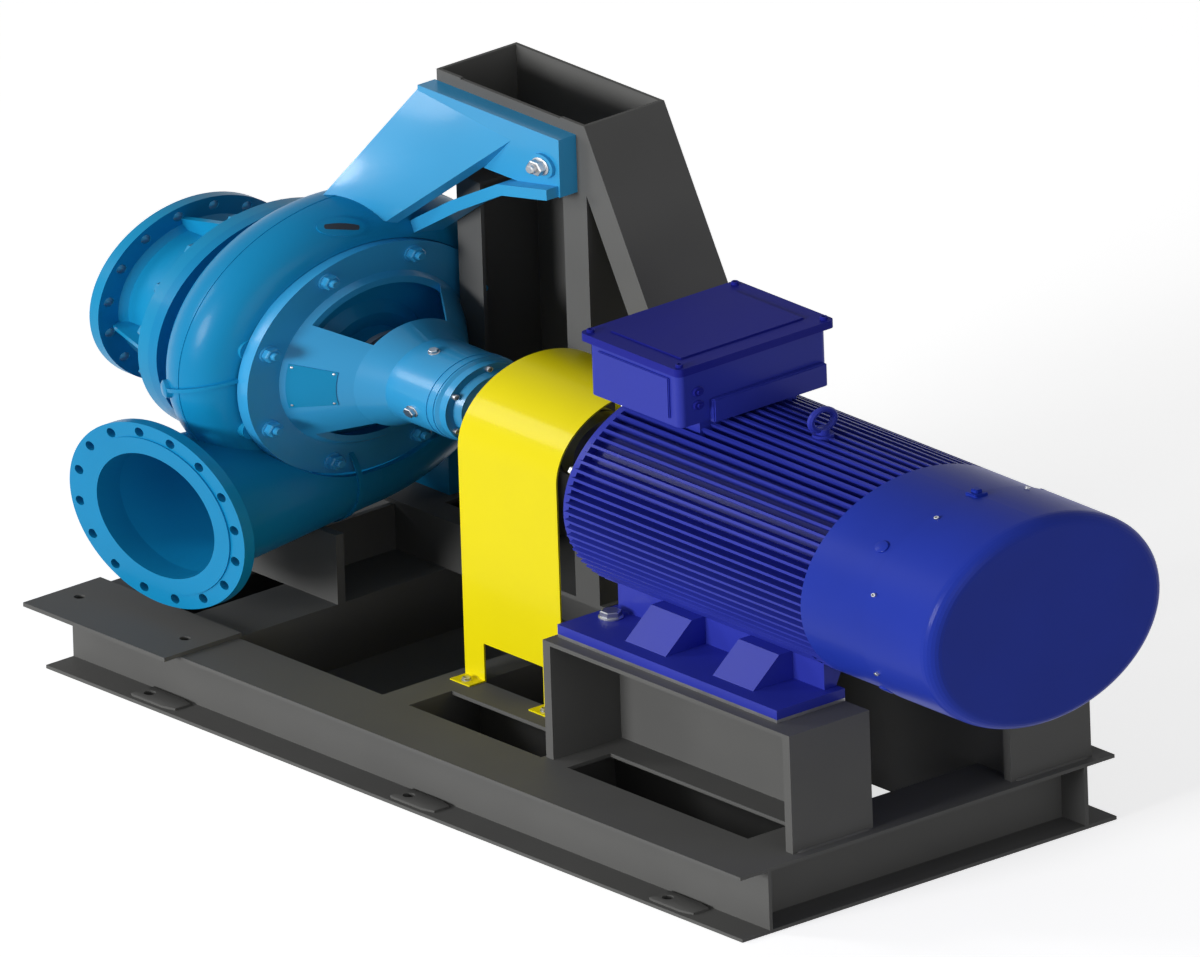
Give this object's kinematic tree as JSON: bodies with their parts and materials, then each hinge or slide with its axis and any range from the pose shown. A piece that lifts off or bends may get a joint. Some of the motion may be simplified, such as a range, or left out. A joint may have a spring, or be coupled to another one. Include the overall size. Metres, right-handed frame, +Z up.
{
  "type": "horizontal pump set",
  "caption": "Horizontal mixed-flow pump with blue volute casing, yellow coupling guard and finned blue motor, on a black steel baseframe with a support tower.",
  "frame": {"origin": "middle of the baseframe's anchor holes, on the floor", "axes": "+X along the shaft from the pump to the motor, +Y across to the tower side, +Z up"},
  "size_m": [2.555, 1.0413, 1.635],
  "materials": {
    "frame_black": "satin black paint",
    "pump_blue": "gloss blue paint",
    "motor_blue": "satin dark blue paint",
    "guard_yellow": "gloss yellow paint",
    "bright_steel": "machined",
    "impeller_steel": "cast and machined",
    "packer_steel": "machined",
    "coupling_iron": "machined",
    "coupling_rubber": "matt"
  },
  "bodies": {
    "root": {"base_beam_far": "frame_black", "base_beam_near": "frame_black", "base_channel_guard": "frame_black", "base_channel_motor": "frame_black", "base_channel_pump_front": "frame_black", "base_channel_pump_rear": "frame_black", "base_end_beam_motor": "frame_black", "base_end_beam_pump": "frame_black", "base_floor_sheets": "frame_black", "base_rail_far": "frame_black", "base_rail_near": "frame_black", "bearing_bracket": "pump_blue", "bearing_cap": "pump_blue", "bearing_housing": "pump_blue", "casing_arm": "pump_blue", "casing_cover": "pump_blue", "casing_foot": "pump_blue", "coupling_element": "coupling_rubber", "coupling_guard": "guard_yellow", "coupling_half_motor": "coupling_iron", "coupling_half_pump": "coupling_iron", "discharge_branch": "pump_blue", "impeller": "impeller_steel", "motor_fan_cowl": "motor_blue", "motor_feet": "motor_blue", "motor_frame": "motor_blue", "motor_lifting_eye": "motor_blue", "motor_packers": "packer_steel", "motor_pedestal_far": "frame_black", "motor_pedestal_near": "frame_black", "motor_shaft": "bright_steel", "motor_shield_drive": "motor_blue", "motor_shield_fan": "motor_blue", "pipe_rest_plate": "frame_black", "pump_shaft": "bright_steel", "pump_stool": "frame_black", "seal_gland": "impeller_steel", "shaft_bearings": "bright_steel", "suction_cover": "pump_blue", "terminal_box": "motor_blue", "terminal_box_lid": "motor_blue", "tower_back_plate": "frame_black", "tower_base_plates": "frame_black", "tower_face_plate": "frame_black", "tower_leg_front": "frame_black", "tower_leg_rear": "frame_black", "tower_leg_sloping": "frame_black", "volute_casing": "pump_blue"}
  },
  "joints": []
}
